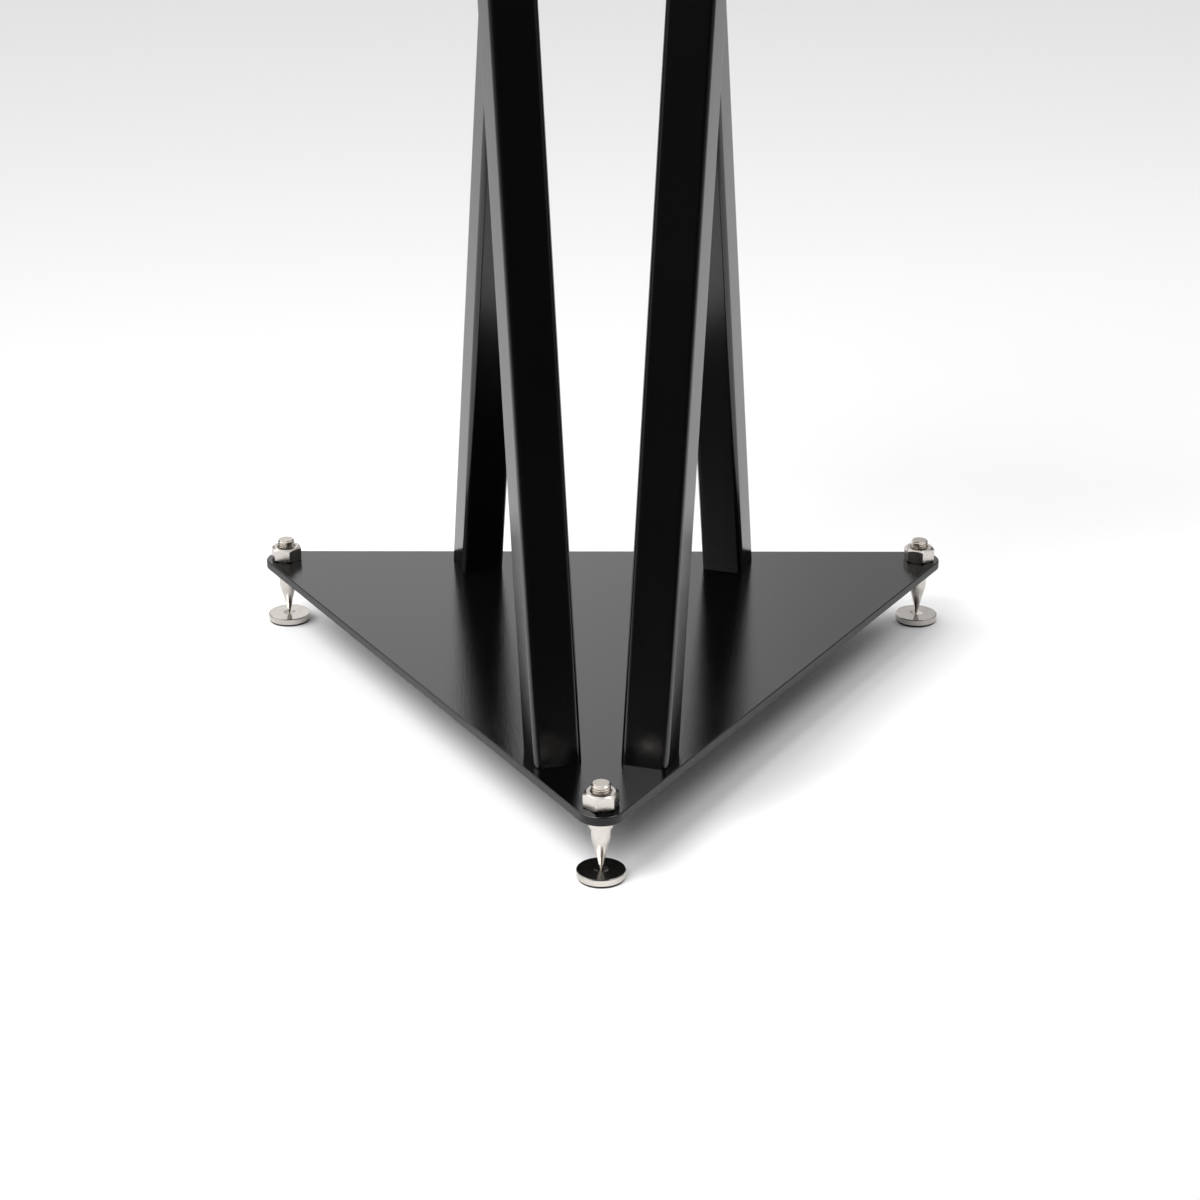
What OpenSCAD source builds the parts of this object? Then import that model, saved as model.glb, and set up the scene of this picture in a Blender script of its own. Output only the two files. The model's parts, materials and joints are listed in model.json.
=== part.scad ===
// Speaker stand: a triangular steel base on three spiked feet, four leaning square columns and a
// small top plate. X is across the stand, -Y is the front and +Z is up. The origin is on the floor,
// at the middle of the stand's outline.

/* [Overall] */
// Height from the floor to the top of the pads that carry the speaker
total_height = 500; // [300:5:700]

/* [Base plate] */
// Side of the base triangle, measured to its sharp corners
base_side = 340; // [300:5:420]
// Radius of the three rounded corners
base_corner_r = 10; // [6:0.5:14]
// Thickness of the base and top plates
plate_t = 4; // [3.5:0.5:8]

/* [Top plate] */
// Width of the top plate
top_w = 160; // [150:5:220]
// Depth of the top plate, front to back
top_d = 150; // [140:5:220]
// Radius of the top plate's corners
top_corner_r = 10; // [4:1:16]
// Distance of the top plate's middle behind the stand's middle
top_centre_y = 21.6; // [10:0.2:40]

/* [Columns] */
// Outside width of the square tube
column_size = 20; // [18:1:25]
// Outside corner radius of the tube
column_corner_r = 2.5; // [2:0.5:4]
// Wall thickness of the tube
column_wall = 1.5; // [1:0.25:1.75]
// Turn of each tube about its own axis, which faces the front walls inwards
column_turn = 17; // [0:1:20]
// Distance between the front pair's axes at the base plate
front_base_gap = 40; // [36:1:44]
// Distance between the rear pair's axes at the base plate
rear_base_gap = 120.4; // [90:0.2:150]
// Distance between the front pair's axes at the top plate
front_top_gap = 91; // [80:1:100]
// Distance between the rear pair's axes at the top plate
rear_top_gap = 56.6; // [50:0.2:70]
// Distance from the front pair to the rear pair at the top plate
top_pair_gap = 50; // [45:1:60]
// Distance of the front pair behind the front foot, at the base plate
front_pair_setback = 44.1; // [40:0.1:60]
// Distance of the rear pair in front of the rear edge, at the base plate
rear_pair_inset = 16.8; // [14:0.2:30]

/* [Feet] */
// Distance of the front foot behind the sharp tip of the base triangle
front_foot_inset = 20.8; // [18:0.1:24]
// Distance of the rear feet in front of the rear edge
rear_foot_inset = 10; // [9:0.2:14]
// Distance of each rear foot inside the sharp corner, sideways
rear_foot_side_inset = 17; // [15:0.5:24]
// Nominal thread diameter of the spikes
thread_d = 8; // [6:1:10]
// Across flats of the lock nuts
nut_af = 13; // [13:0.5:15]
// Height of the lock nuts
nut_h = 6.5; // [5:0.5:8]
// Length of thread that stands out above the lock nut
thread_show = 3.5; // [3.5:0.5:10]
// Height of the spike's pointed cone
cone_h = 16; // [10:1:24]
// Height of the round part between the cone and the flange
collar_h = 5; // [3:0.5:10]
// Thickness of the flange that stops against the plate
flange_t = 4; // [2.5:0.5:6]
// Width of the flange beyond the round part, on each side
flange_lip = 1.2; // [0.8:0.2:2]
// Diameter of the floor discs
disc_d = 20; // [18:1:26]
// Thickness of the floor discs
disc_t = 3; // [2.5:0.5:5]
// Thickness of the soft pad under each floor disc
floor_pad_t = 0.8; // [0.6:0.2:2]

/* [Screws, inserts and top pads] */
// Diameter of the countersunk screws that hold the columns
screw_d = 6; // [5:0.5:6]
// Overall length of those screws
screw_l = 16; // [14:1:18]
// Length of the threaded insert in each end of a column
insert_l = 22; // [20:1:30]
// Diameter of the pads that carry the speaker
top_pad_d = 16; // [12:1:20]
// Thickness of those pads
top_pad_t = 2; // [1:0.5:4]
// Distance of each pad's centre from the top plate's edges
top_pad_inset = 16; // [12:1:20]

/* [Hidden] */
$fn = 96;

// Clearances between pieces
thread_gap = 0.05;
screw_gap = 0.2;
insert_gap = 0.05;

// How far a cut runs past the face that it opens
cut_over = 1;

// Shapes of the small hardware
tip_r = 0.4;
tip_seat_r = 0.7;
dimple_depth = 0.8;
dimple_r = 2.8;
disc_edge = 0.3;
floor_pad_lip = 0.5;
thread_chamfer = 1;
nut_face_share = 0.95;
nut_chamfer_angle = 30;
screw_head_share = 2;
screw_chamfer = 0.5;
key_af_share = 2 / 3;
key_depth_share = 1 / 3;

// Swelling line of the spike's cone, in shares of the round part's radius and the cone's height
cone_shares = [[0.55, 0.5], [0.825, 0.79], [0.92, 0.905], [0.97, 0.98], [0.993, 1.04], [1, 1.1]];

// Heights, from the floor up
disc_top_z = floor_pad_t + disc_t;
tip_z = disc_top_z - dimple_depth;
cone_top_z = tip_z + cone_h;
flange_z = cone_top_z + collar_h;
base_under_z = flange_z + flange_t;
base_top_z = base_under_z + plate_t;
thread_top_z = base_top_z + nut_h + thread_show;
top_face_z = total_height - top_pad_t;
top_under_z = top_face_z - plate_t;
column_rise = top_under_z - base_top_z;

// Outline of the base: the sharp tip and the rear edge, with the outline's middle at y = 0
base_depth = base_side * sin(60);
front_reach = min(base_corner_r, front_foot_inset - disc_d / 2);
rear_reach = max(0, disc_d / 2 - rear_foot_inset);
tip_y = -(base_depth + front_reach + rear_reach) / 2;
rear_y = tip_y + base_depth;

// The three arc centres and the outward normals of the three sides
corner_run = base_corner_r / tan(30);
tip_arc = [0, tip_y + base_corner_r / sin(30)];
right_arc = [base_side / 2 - corner_run, rear_y - base_corner_r];
left_arc = [-right_arc[0], right_arc[1]];
right_out = [cos(30), -sin(30)];
left_out = [-cos(30), -sin(30)];
rear_out = [0, 1];

// Feet, in the order front, rear left, rear right
FEET = [
    [0, tip_y + front_foot_inset],
    [rear_foot_side_inset - base_side / 2, rear_y - rear_foot_inset],
    [base_side / 2 - rear_foot_side_inset, rear_y - rear_foot_inset]
];
// Direction of one corner of each tightened lock nut, from the front towards +X
NUT_TURNS = [-17, 18, 9];

// Columns: row 0 is the front pair and row 1 the rear pair, side -1 is left and 1 is right
LEFT = -1;
RIGHT = 1;
FRONT = 0;
REAR = 1;
COLUMNS = [[FRONT, LEFT], [FRONT, RIGHT], [REAR, LEFT], [REAR, RIGHT]];
base_gaps = [front_base_gap, rear_base_gap];
top_gaps = [front_top_gap, rear_top_gap];
base_ys = [FEET[0][1] + front_pair_setback, rear_y - rear_pair_inset];
top_ys = [top_centre_y - top_pair_gap / 2, top_centre_y + top_pair_gap / 2];

thread_r = thread_d / 2 - thread_gap;
thread_hole_r = thread_d / 2;
collar_r = thread_d / 2;
flange_r = collar_r + flange_lip;
screw_r = screw_d / 2;
head_r = screw_r * screw_head_share;
head_h = head_r - screw_r;
inner_size = column_size - 2 * column_wall;
inner_corner_r = column_corner_r - column_wall + insert_gap;

function unit(v) = v / norm(v);
function column_foot(row, side) = [side * base_gaps[row] / 2, base_ys[row], base_top_z];
function column_head(row, side) = [side * top_gaps[row] / 2, top_ys[row], top_under_z];
function column_length(row, side) = norm(column_head(row, side) - column_foot(row, side));

// Rigid placing of a tube: local Z runs up the leaning axis and local Y points out of the rear wall
function column_frame(row, side) =
    let (
        p = column_foot(row, side),
        z = unit(column_head(row, side) - p),
        back = [side * sin(column_turn), cos(column_turn), 0],
        y = unit(back - z * (back * z)),
        x = cross(y, z)
    )
    [
        [x[0], y[0], z[0], p[0]],
        [x[1], y[1], z[1], p[1]],
        [x[2], y[2], z[2], p[2]],
        [0, 0, 0, 1]
    ];

module rounded_rect(w, d, r) {
    square([w, d - 2 * r], center = true);
    square([w - 2 * r, d], center = true);
    for (x = [-1, 1], y = [-1, 1])
        translate([x * (w / 2 - r), y * (d / 2 - r)])
            circle(r);
}

// Triangle with three arcs, joined along their shared tangents
module base_outline() {
    r = base_corner_r;
    polygon([
        tip_arc + r * right_out, right_arc + r * right_out,
        right_arc + r * rear_out, left_arc + r * rear_out,
        left_arc + r * left_out, tip_arc + r * left_out
    ]);
    for (c = [tip_arc, right_arc, left_arc])
        translate(c)
            circle(r);
}

// Hole for one countersunk screw, head face at z = 0 and thread towards +Z
module screw_hole() {
    translate([0, 0, -cut_over])
        cylinder(h = plate_t + 2 * cut_over, r = screw_r + screw_gap);
    cylinder(h = head_h, r1 = head_r, r2 = screw_r);
}

// Turns a screw or its hole over, so that the head is at the top
module facing_down() {
    rotate([180, 0, 0])
        children();
}

module base_plate() {
    color([0.07, 0.07, 0.08])
        difference() {
            translate([0, 0, base_under_z])
                linear_extrude(plate_t)
                    base_outline();
            for (p = FEET)
                translate([p[0], p[1], base_under_z - cut_over])
                    cylinder(h = plate_t + 2 * cut_over, r = thread_hole_r);
            for (c = COLUMNS)
                translate([column_foot(c[0], c[1])[0], column_foot(c[0], c[1])[1], base_under_z])
                    screw_hole();
        }
}

module top_plate() {
    color([0.07, 0.07, 0.08])
        difference() {
            translate([0, top_centre_y, top_under_z])
                linear_extrude(plate_t)
                    rounded_rect(top_w, top_d, top_corner_r);
            for (c = COLUMNS)
                translate([column_head(c[0], c[1])[0], column_head(c[0], c[1])[1], top_face_z])
                    facing_down()
                        screw_hole();
        }
}

// Keeps what lies between the two plates, which cuts the leaning tubes to their mitres
module between_plates() {
    intersection() {
        children();
        translate([-base_side, -base_side, base_top_z])
            cube([2 * base_side, 2 * base_side, column_rise]);
    }
}

// Square tube, run on past both plates and then mitred flat on them
module column(row, side) {
    color([0.05, 0.05, 0.055])
        between_plates()
            multmatrix(column_frame(row, side))
                translate([0, 0, -column_size])
                    linear_extrude(column_length(row, side) + 2 * column_size)
                        difference() {
                            rounded_rect(column_size, column_size, column_corner_r);
                            rounded_rect(inner_size, inner_size, inner_corner_r);
                        }
}

// Bar that fills the tube for a length of insert_l above the base plate
module insert_bar(row, side, from) {
    size = inner_size - 2 * insert_gap;
    multmatrix(column_frame(row, side))
        translate([0, 0, from])
            linear_extrude(insert_l + column_size)
                rounded_rect(size, size, inner_corner_r);
}

// Upright threaded hole for the end of one screw, from the plate's face at z = 0 upwards
module insert_thread() {
    depth = screw_l - plate_t + cut_over;
    translate([0, 0, -cut_over])
        cylinder(h = depth + cut_over, r = screw_r + thread_gap);
}

module lower_insert(row, side) {
    color([0.55, 0.56, 0.58])
        difference() {
            between_plates()
                insert_bar(row, side, -column_size);
            translate(column_foot(row, side))
                insert_thread();
        }
}

module upper_insert(row, side) {
    color([0.55, 0.56, 0.58])
        difference() {
            between_plates()
                insert_bar(row, side, column_length(row, side) - insert_l);
            translate(column_head(row, side))
                facing_down()
                    insert_thread();
        }
}

// Countersunk screw with a hexagonal key socket, head face at z = 0
module screw() {
    key_af = screw_d * key_af_share;
    difference() {
        rotate_extrude()
            polygon([
                [0, 0], [head_r, 0], [screw_r, head_h], [screw_r, screw_l - screw_chamfer],
                [screw_r - screw_chamfer, screw_l], [0, screw_l]
            ]);
        translate([0, 0, -cut_over])
            cylinder(h = screw_d * key_depth_share + cut_over, r = key_af / 2 / cos(30), $fn = 6);
    }
}

module base_screws() {
    color([0.2, 0.2, 0.21])
        for (c = COLUMNS)
            translate([column_foot(c[0], c[1])[0], column_foot(c[0], c[1])[1], base_under_z])
                screw();
}

module top_screws() {
    color([0.2, 0.2, 0.21])
        for (c = COLUMNS)
            translate([column_head(c[0], c[1])[0], column_head(c[0], c[1])[1], top_face_z])
                facing_down()
                    screw();
}

// One turned piece: swelling cone, round part, chamfered stop flange and threaded stud
module spike(i) {
    color([0.82, 0.82, 0.8])
        translate(FEET[i])
            rotate_extrude()
                polygon([
                    [0, tip_z], [tip_r, tip_z],
                    for (share = cone_shares) [share[0] * collar_r, tip_z + share[1] * cone_h],
                    [collar_r, flange_z], [flange_r, flange_z + flange_lip],
                    [flange_r, base_under_z], [thread_r, base_under_z],
                    [thread_r, thread_top_z - thread_chamfer],
                    [thread_r - thread_chamfer, thread_top_z], [0, thread_top_z]
                ]);
}

// Hexagon nut with both ends of its corners chamfered
module lock_nut(i) {
    corner_r = nut_af / 2 / cos(30);
    face_r = nut_af / 2 * nut_face_share;
    bevel_h = (corner_r - face_r) * tan(nut_chamfer_angle);
    color([0.82, 0.82, 0.8])
        translate([FEET[i][0], FEET[i][1], base_top_z])
            rotate([0, 0, NUT_TURNS[i] - 90])
                difference() {
                    intersection() {
                        cylinder(h = nut_h, r = corner_r, $fn = 6);
                        rotate_extrude()
                            polygon([
                                [0, 0], [face_r, 0], [corner_r, bevel_h],
                                [corner_r, nut_h - bevel_h], [face_r, nut_h], [0, nut_h]
                            ]);
                    }
                    translate([0, 0, -cut_over])
                        cylinder(h = nut_h + 2 * cut_over, r = thread_hole_r);
                }
}

// Turned disc with a shallow dimple that holds the spike's tip
module floor_disc(i) {
    r = disc_d / 2;
    color([0.85, 0.85, 0.84])
        translate(FEET[i])
            rotate_extrude()
                polygon([
                    [0, floor_pad_t], [r - disc_edge, floor_pad_t], [r, floor_pad_t + disc_edge],
                    [r, disc_top_z - disc_edge], [r - disc_edge, disc_top_z],
                    [dimple_r, disc_top_z], [tip_seat_r, tip_z], [0, tip_z]
                ]);
}

module floor_pad(i) {
    color([0.04, 0.04, 0.04])
        translate(FEET[i])
            cylinder(h = floor_pad_t, r = disc_d / 2 - floor_pad_lip);
}

// Pad on the top plate, one near each corner
module top_pad(row, side) {
    x = side * (top_w / 2 - top_pad_inset);
    y = top_centre_y + (row == FRONT ? -1 : 1) * (top_d / 2 - top_pad_inset);
    color([0.05, 0.05, 0.05])
        translate([x, y, top_face_z])
            cylinder(h = top_pad_t, r = top_pad_d / 2);
}

base_plate();
top_plate();
column(FRONT, LEFT);  // column_front_left
column(FRONT, RIGHT);  // column_front_right
column(REAR, LEFT);  // column_rear_left
column(REAR, RIGHT);  // column_rear_right
lower_insert(FRONT, LEFT);  // lower_insert_front_left
lower_insert(FRONT, RIGHT);  // lower_insert_front_right
lower_insert(REAR, LEFT);  // lower_insert_rear_left
lower_insert(REAR, RIGHT);  // lower_insert_rear_right
upper_insert(FRONT, LEFT);  // upper_insert_front_left
upper_insert(FRONT, RIGHT);  // upper_insert_front_right
upper_insert(REAR, LEFT);  // upper_insert_rear_left
upper_insert(REAR, RIGHT);  // upper_insert_rear_right
base_screws();
top_screws();
spike(0);  // spike_front
spike(1);  // spike_rear_left
spike(2);  // spike_rear_right
lock_nut(0);  // lock_nut_front
lock_nut(1);  // lock_nut_rear_left
lock_nut(2);  // lock_nut_rear_right
floor_disc(0);  // floor_disc_front
floor_disc(1);  // floor_disc_rear_left
floor_disc(2);  // floor_disc_rear_right
floor_pad(0);  // floor_pad_front
floor_pad(1);  // floor_pad_rear_left
floor_pad(2);  // floor_pad_rear_right
top_pad(FRONT, LEFT);  // top_pad_front_left
top_pad(FRONT, RIGHT);  // top_pad_front_right
top_pad(REAR, LEFT);  // top_pad_rear_left
top_pad(REAR, RIGHT);  // top_pad_rear_right
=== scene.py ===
# %% [markdown]
# Speaker stand, dressed in Blender.
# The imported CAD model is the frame: it fixes every size and every place. This lesson builds the
# finished look around it, piece by piece: the painted plates and tubes, the bright levelling feet,
# the screws and the soft pads. The frame is in metres, X across the stand, -Y to the front, +Z up.

import json
import math

import bmesh
import bpy
from mathutils import Matrix, Vector

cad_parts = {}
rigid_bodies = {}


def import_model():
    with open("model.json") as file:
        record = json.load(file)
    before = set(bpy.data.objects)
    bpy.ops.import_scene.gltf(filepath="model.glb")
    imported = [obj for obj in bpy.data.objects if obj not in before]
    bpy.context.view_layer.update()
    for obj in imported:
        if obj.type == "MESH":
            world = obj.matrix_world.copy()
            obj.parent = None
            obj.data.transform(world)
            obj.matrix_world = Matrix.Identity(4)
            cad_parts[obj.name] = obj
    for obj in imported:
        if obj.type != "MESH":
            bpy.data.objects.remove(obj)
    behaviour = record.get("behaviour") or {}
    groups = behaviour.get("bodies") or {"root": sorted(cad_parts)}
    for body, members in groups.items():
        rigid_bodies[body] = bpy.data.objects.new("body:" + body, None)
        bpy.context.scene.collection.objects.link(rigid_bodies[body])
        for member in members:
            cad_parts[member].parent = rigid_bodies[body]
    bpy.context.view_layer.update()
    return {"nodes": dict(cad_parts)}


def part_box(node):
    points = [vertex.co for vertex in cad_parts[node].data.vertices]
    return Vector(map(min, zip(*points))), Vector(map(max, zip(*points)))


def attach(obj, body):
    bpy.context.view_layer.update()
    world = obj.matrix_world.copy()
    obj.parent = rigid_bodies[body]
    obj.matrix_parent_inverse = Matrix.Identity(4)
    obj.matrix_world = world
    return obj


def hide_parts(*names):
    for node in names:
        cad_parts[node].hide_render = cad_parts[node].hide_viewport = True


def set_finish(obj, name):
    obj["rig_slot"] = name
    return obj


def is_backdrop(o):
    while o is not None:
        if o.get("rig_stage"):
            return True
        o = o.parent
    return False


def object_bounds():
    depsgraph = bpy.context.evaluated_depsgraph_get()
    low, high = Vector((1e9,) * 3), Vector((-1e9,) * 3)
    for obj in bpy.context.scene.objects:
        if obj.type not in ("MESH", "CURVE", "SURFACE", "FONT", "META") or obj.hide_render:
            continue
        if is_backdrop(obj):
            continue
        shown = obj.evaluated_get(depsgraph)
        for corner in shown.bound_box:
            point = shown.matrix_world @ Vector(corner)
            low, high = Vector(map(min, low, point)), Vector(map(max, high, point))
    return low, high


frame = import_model()

# %% [markdown]
# The camera comes first, because it decides which details matter. A product photograph like this
# one is taken with a longish lens from a little over a metre away, looking down on the base, so the
# three feet and the whole plate are in view and the columns run out of the picture.
# The place, the tilt and the lens below were found by fitting the corners of the CAD model.

# %% Camera
MM = 0.001
CAMERA_PLACE = (2.8 * MM, -1089.8 * MM, 517.9 * MM)
CAMERA_TILT_DOWN = 22.558
CAMERA_TURN = 0.192
LENS_MM = 81.45
SENSOR_MM = 36
NEAREST = 10 * MM
FARTHEST = 50

camera_data = bpy.data.cameras.new("camera")
camera_data.sensor_width = SENSOR_MM
camera_data.lens = LENS_MM
camera_data.clip_start = NEAREST
camera_data.clip_end = FARTHEST
camera = bpy.data.objects.new("camera", camera_data)
camera.location = CAMERA_PLACE
camera.rotation_euler = (math.radians(90 - CAMERA_TILT_DOWN), 0, math.radians(CAMERA_TURN))
bpy.context.scene.collection.objects.link(camera)
bpy.context.scene.camera = camera
print("camera looks down by", CAMERA_TILT_DOWN, "degrees through a lens of", LENS_MM, "mm")

# %% [markdown]
# Modelling by hand in Blender means: add a primitive, go into edit mode, select some edges or faces,
# and run an operator on them. A script does the same, with one difference: there is no mouse, so
# the selection is a rule, such as "edges that run upright". These helpers hold that routine. They
# deselect all before they turn to a piece, because an operator acts on whatever is still selected.
# The pieces are modelled a thousand times too large, so that one unit is one millimetre, and are
# scaled down when they are finished. Bevels and booleans round off at about a millionth of a
# unit, and at true size that leaves torn edges on parts as small as a nut.


# %% Helpers for edit mode
UP = (0, 0, 1)


def select_only(piece):
    """Selects one piece and nothing else, and makes it the active one."""
    bpy.ops.object.select_all(action="DESELECT")
    bpy.context.view_layer.objects.active = piece
    piece.select_set(True)


def start(name, add_primitive, **settings):
    """Adds a primitive at its size and place and makes its place part of its mesh."""
    bpy.ops.object.select_all(action="DESELECT")
    add_primitive(**settings)
    piece = bpy.context.object
    piece.name = name
    piece.data.name = name
    bpy.ops.object.transform_apply(location=True, rotation=True, scale=True)
    return piece


def edit(piece):
    """Opens a piece in edit mode with everything in it selected."""
    select_only(piece)
    bpy.ops.object.mode_set(mode="EDIT")
    bpy.ops.mesh.select_mode(type="VERT")
    bpy.ops.mesh.select_all(action="SELECT")


def done():
    """Leaves edit mode."""
    bpy.ops.object.mode_set(mode="OBJECT")


def pick(kind, rule):
    """In edit mode, selects only the parts of one kind that the rule accepts, and counts them."""
    bpy.ops.mesh.select_mode(type=kind)
    bpy.ops.mesh.select_all(action="DESELECT")
    mesh = bpy.context.edit_object.data
    shape = bmesh.from_edit_mesh(mesh)
    groups = {"VERT": shape.verts, "EDGE": shape.edges, "FACE": shape.faces}
    chosen = [part for part in groups[kind] if rule(part)]
    for part in chosen:
        part.select_set(True)
    shape.select_flush_mode()
    bmesh.update_edit_mesh(mesh)
    return len(chosen)


# %% [markdown]
# Holes are cut with modifiers, which change a whole mesh at once. A boolean leaves hairline seams
# where its cut passes close to an old point, so every cut is followed by a weld. The last helper
# shades: gentle bends look round and real edges look sharp. The weighted normals that it adds let
# the large faces win, so that a flat beside a small bevel keeps its flat look.

# %% Helpers for modifiers
WELD = 0.0005
SHARP_FROM = 35
SHARP_FROM_FINE = 25


def apply_modifier(piece, kind, **settings):
    """Adds one modifier, sets it and applies it."""
    select_only(piece)
    modifier = piece.modifiers.new(kind.lower(), kind)
    for setting, value in settings.items():
        setattr(modifier, setting, value)
    bpy.ops.object.modifier_apply(modifier=modifier.name)


def carve(piece, tool, operation="DIFFERENCE"):
    """Cuts a tool shape out of a piece, keeps what both share or joins them, and welds seams."""
    apply_modifier(piece, "BOOLEAN", operation=operation, object=tool, solver="EXACT")
    bpy.data.objects.remove(tool)
    edit(piece)
    bpy.ops.mesh.remove_doubles(threshold=WELD)
    done()


def smooth(piece, angle=SHARP_FROM):
    """Shades bends smooth up to an angle, keeps real edges sharp and large flats truly flat."""
    select_only(piece)
    bpy.ops.object.shade_smooth_by_angle(angle=math.radians(angle))
    apply_modifier(piece, "WEIGHTED_NORMAL", keep_sharp=True)


# %% [markdown]
# What repeats, such as a screw, is modelled once at the origin and copied. Each copy has a mesh of
# its own, because its place is written into that mesh: a finished piece's object stays at the
# origin, unturned and unscaled. Settling a piece also ties it to the frame: it rides on a body of
# the stand, takes its finish from a slot, and stands for the CAD nodes that it hides. A mesh is
# closed when each of its edges lies between exactly two faces, so the open edges are counted too.


# %% Helpers for copies and for the frame
def copy_to(piece, name, place=(0, 0, 0), turn=0):
    """Copies a piece with a mesh of its own, and turns that mesh about Z and moves it."""
    twin = piece.copy()
    twin.data = piece.data.copy()
    twin.name = name
    twin.data.name = name
    bpy.context.scene.collection.objects.link(twin)
    twin.location = place
    twin.rotation_euler = (0, 0, math.radians(turn))
    select_only(twin)
    bpy.ops.object.transform_apply(location=True, rotation=True, scale=True)
    return twin


def open_edges(piece):
    """Counts the edges of a mesh that don't lie between exactly two faces."""
    shape = bmesh.new()
    shape.from_mesh(piece.data)
    count = sum(1 for edge in shape.edges if len(edge.link_faces) != 2)
    shape.free()
    return count


def settle(piece, body, slot, *nodes):
    """Brings a piece to true size, and makes it ride on its body and stand for its CAD nodes."""
    select_only(piece)
    piece.scale = (MM, MM, MM)
    bpy.ops.object.transform_apply(location=True, rotation=True, scale=True)
    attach(piece, body)
    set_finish(piece, slot)
    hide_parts(*nodes)
    mesh_report = f"{len(piece.data.polygons)} faces, {open_edges(piece)} open edges"
    print(f"{piece.name}: {mesh_report}, rides on {body}, stands for {', '.join(nodes)}")


# %% [markdown]
# A turned part, such as a spike or a disc, is made on a lathe: a profile swept once round an axis.
# Blender can do just that. One vertex is extruded from point to point along half of the outline,
# and spin then carries that line round the axis. Where the line ends on the axis, the spun copies
# of its end point are merged into one pole, which closes the surface.

# %% Helpers for turned parts
TURNING_STEPS = 96


def drawn_line(name, points):
    """A line through (radius, height) points in the XZ plane, left open in edit mode."""
    piece = start(name, bpy.ops.mesh.primitive_plane_add, size=1)
    edit(piece)
    bpy.ops.mesh.merge(type="CENTER")
    places = [Vector((radius, 0, height)) for radius, height in points]
    bpy.ops.transform.translate(value=places[0])
    for here, there in zip(places, places[1:]):
        bpy.ops.mesh.extrude_region_move(TRANSFORM_OT_translate={"value": there - here})
    return piece


def turned(name, profile, steps=TURNING_STEPS):
    """A solid of revolution about the Z axis from (radius, height) points, pole to pole."""
    piece = drawn_line(name, profile)
    bpy.ops.mesh.select_all(action="SELECT")
    bpy.ops.mesh.spin(steps=steps, angle=math.tau, center=(0, 0, 0), axis=UP)
    bpy.ops.mesh.select_all(action="SELECT")
    bpy.ops.mesh.remove_doubles(threshold=WELD)
    bpy.ops.mesh.normals_make_consistent(inside=False)
    done()
    return piece


# %% [markdown]
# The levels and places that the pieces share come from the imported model, not from a ruler: each
# box below is the lowest and highest corner of a CAD node. The three feet stand on the middles of
# their floor discs.

# %% Levels and places
FEET = ("front", "rear_left", "rear_right")


def box_mm(node):
    """The lowest and highest corner of a CAD node, in millimetres."""
    low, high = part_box(node)
    return low / MM, high / MM


base_low, base_high = box_mm("base_plate")
top_low, top_high = box_mm("top_plate")
disc_low, disc_high = box_mm("floor_disc_front")
spike_low, spike_high = box_mm("spike_front")
nut_low, nut_high = box_mm("lock_nut_front")
plate_t = base_high.z - base_low.z
print("base from", round(base_low.z, 2), "to", round(base_high.z, 2), "mm above the floor")

foot_places = {}
for foot in FEET:
    low, high = box_mm("floor_disc_" + foot)
    foot_places[foot] = Vector(((low.x + high.x) / 2, (low.y + high.y) / 2, 0))
    print("foot", foot, "at", [round(length, 1) for length in foot_places[foot].xy], "mm")

# %% [markdown]
# The base plate is 4 mm steel, cut to a triangle with one corner to the front and rounded by a
# 10 mm radius at each corner. It could be a triangular prism with bevelled corners, but a bevel
# only gives a true arc at a right angle. So it starts as a circle of the corner's own radius: a
# third of the circle is pushed out to each corner, and what lies between stretches into the three
# straight sides. The face is then extruded to the plate's thickness, and its rims get the soft
# edge that blasting and a coat of paint leave on cut steel.

# %% Base plate
BASE_SIDE = 340
CORNER_R = 10
HALF_CORNER = math.radians(30)
ARC_STEPS = 32
THIRD = 120
RIM_R = 0.5
RIM_STEPS = 3
STEEP = 0.5

side_run = CORNER_R / math.tan(HALF_CORNER)
rear_centre_y = base_high.y - CORNER_R
# Each corner takes the third of the circle that starts at its angle, in degrees from +X
corner_centres = {
    90: Vector((side_run - BASE_SIDE / 2, rear_centre_y, 0)),
    210: Vector((0, base_low.y + CORNER_R, 0)),
    330: Vector((BASE_SIDE / 2 - side_run, rear_centre_y, 0)),
}


def is_rim(edge):
    """A level edge between an upright face and a level one."""
    if len(edge.link_faces) != 2:
        return False
    slopes = sorted(abs(face.normal.z) for face in edge.link_faces)
    return slopes[0] < STEEP < slopes[1]


def in_third(vertex, first_angle):
    """Whether a vertex is still on the starting circle, in the third after first_angle."""
    angle = math.degrees(math.atan2(vertex.co.y, vertex.co.x))
    return vertex.co.xy.length < 2 * CORNER_R and (angle - first_angle) % 360 < THIRD


def soften_rims():
    """In edit mode, rounds every rim of a plate."""
    pick("EDGE", is_rim)
    bpy.ops.mesh.bevel(offset=RIM_R, segments=RIM_STEPS, affect="EDGES")


# The circle is turned by half a step, so that no point lies on the border of two thirds
base_plate = start(
    "base_plate_painted",
    bpy.ops.mesh.primitive_circle_add,
    vertices=3 * ARC_STEPS,
    radius=CORNER_R,
    fill_type="NGON",
    location=(0, 0, base_low.z),
    rotation=(0, 0, math.pi / (3 * ARC_STEPS)),
)
edit(base_plate)
for first_angle, centre in corner_centres.items():
    moved = pick("VERT", lambda vertex: in_third(vertex, first_angle))
    bpy.ops.transform.translate(value=centre)
    print("corner pushed out with", moved, "points")
bpy.ops.mesh.select_all(action="SELECT")
bpy.ops.mesh.extrude_region_move(TRANSFORM_OT_translate={"value": (0, 0, plate_t)})
bpy.ops.mesh.select_all(action="SELECT")
bpy.ops.mesh.normals_make_consistent(inside=False)
soften_rims()
done()

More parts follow.
